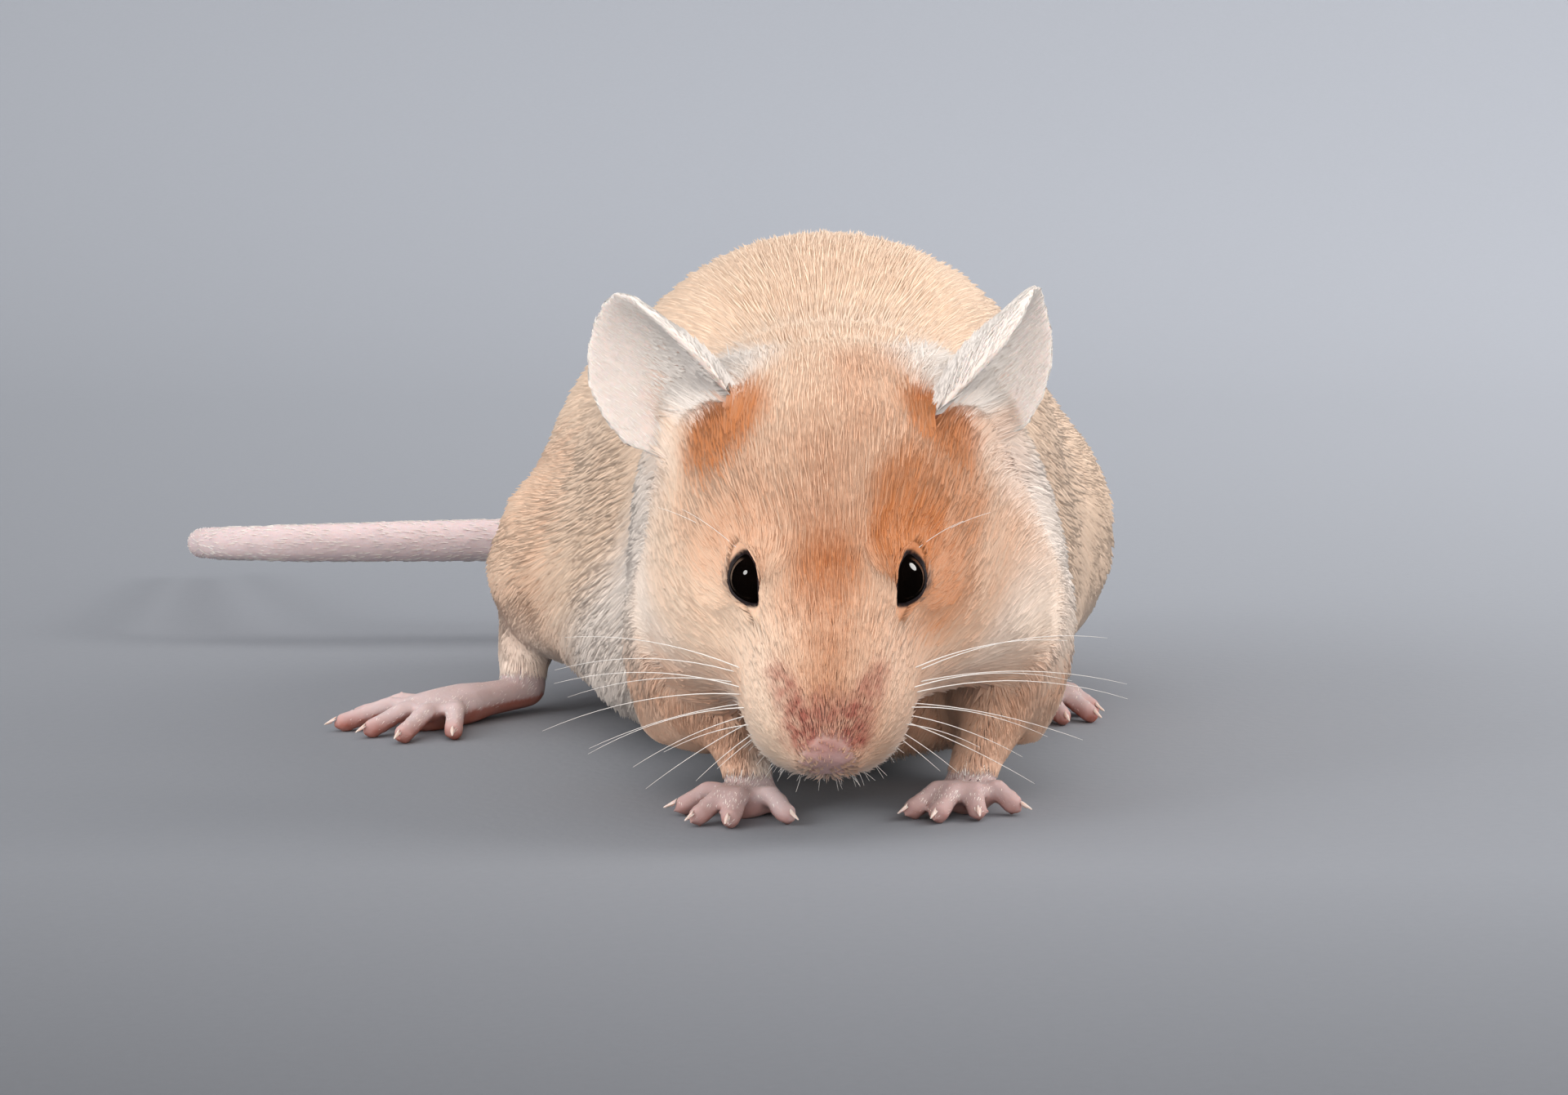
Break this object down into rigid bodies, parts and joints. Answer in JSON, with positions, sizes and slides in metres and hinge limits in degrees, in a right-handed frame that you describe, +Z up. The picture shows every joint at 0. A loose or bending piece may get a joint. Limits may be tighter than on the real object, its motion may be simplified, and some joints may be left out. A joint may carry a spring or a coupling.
{
  "type": "fawn pet mouse",
  "caption": "Life-size still model of a fawn fancy mouse crouching with its head lowered, ears spread and tail swept aside.",
  "frame": {"origin": "on the floor, at the centre of the flat under the belly", "axes": "+Z up, -Y forward along the mouse's body towards its nose, +X to the mouse's left"},
  "size_m": [0.0772, 0.1288, 0.0353],
  "materials": {
    "coat": "short soft fur, orange on the head, cream on the flanks",
    "bare_skin": "thin pink skin, finely haired",
    "ear_skin": "thin pale skin that light shines through",
    "eye": "wet gloss black",
    "claw": "translucent horn"
  },
  "bodies": {
    "root": {"head": "coat", "left_ear": "ear_skin", "left_eye": "eye", "left_foreleg": "coat", "left_forepaw": "bare_skin", "left_forepaw_claw_1": "claw", "left_forepaw_claw_2": "claw", "left_forepaw_claw_3": "claw", "left_forepaw_claw_4": "claw", "left_hindfoot": "bare_skin", "left_hindfoot_claw_1": "claw", "left_hindfoot_claw_2": "claw", "left_hindfoot_claw_3": "claw", "left_hindfoot_claw_4": "claw", "left_hindfoot_claw_5": "claw", "left_hindleg": "coat", "neck": "coat", "right_ear": "ear_skin", "right_eye": "eye", "right_foreleg": "coat", "right_forepaw": "bare_skin", "right_forepaw_claw_1": "claw", "right_forepaw_claw_2": "claw", "right_forepaw_claw_3": "claw", "right_forepaw_claw_4": "claw", "right_hindfoot": "bare_skin", "right_hindfoot_claw_1": "claw", "right_hindfoot_claw_2": "claw", "right_hindfoot_claw_3": "claw", "right_hindfoot_claw_4": "claw", "right_hindfoot_claw_5": "claw", "right_hindleg": "coat", "tail_1": "bare_skin", "tail_2": "bare_skin", "tail_3": "bare_skin", "tail_4": "bare_skin", "trunk": "coat"}
  },
  "joints": []
}
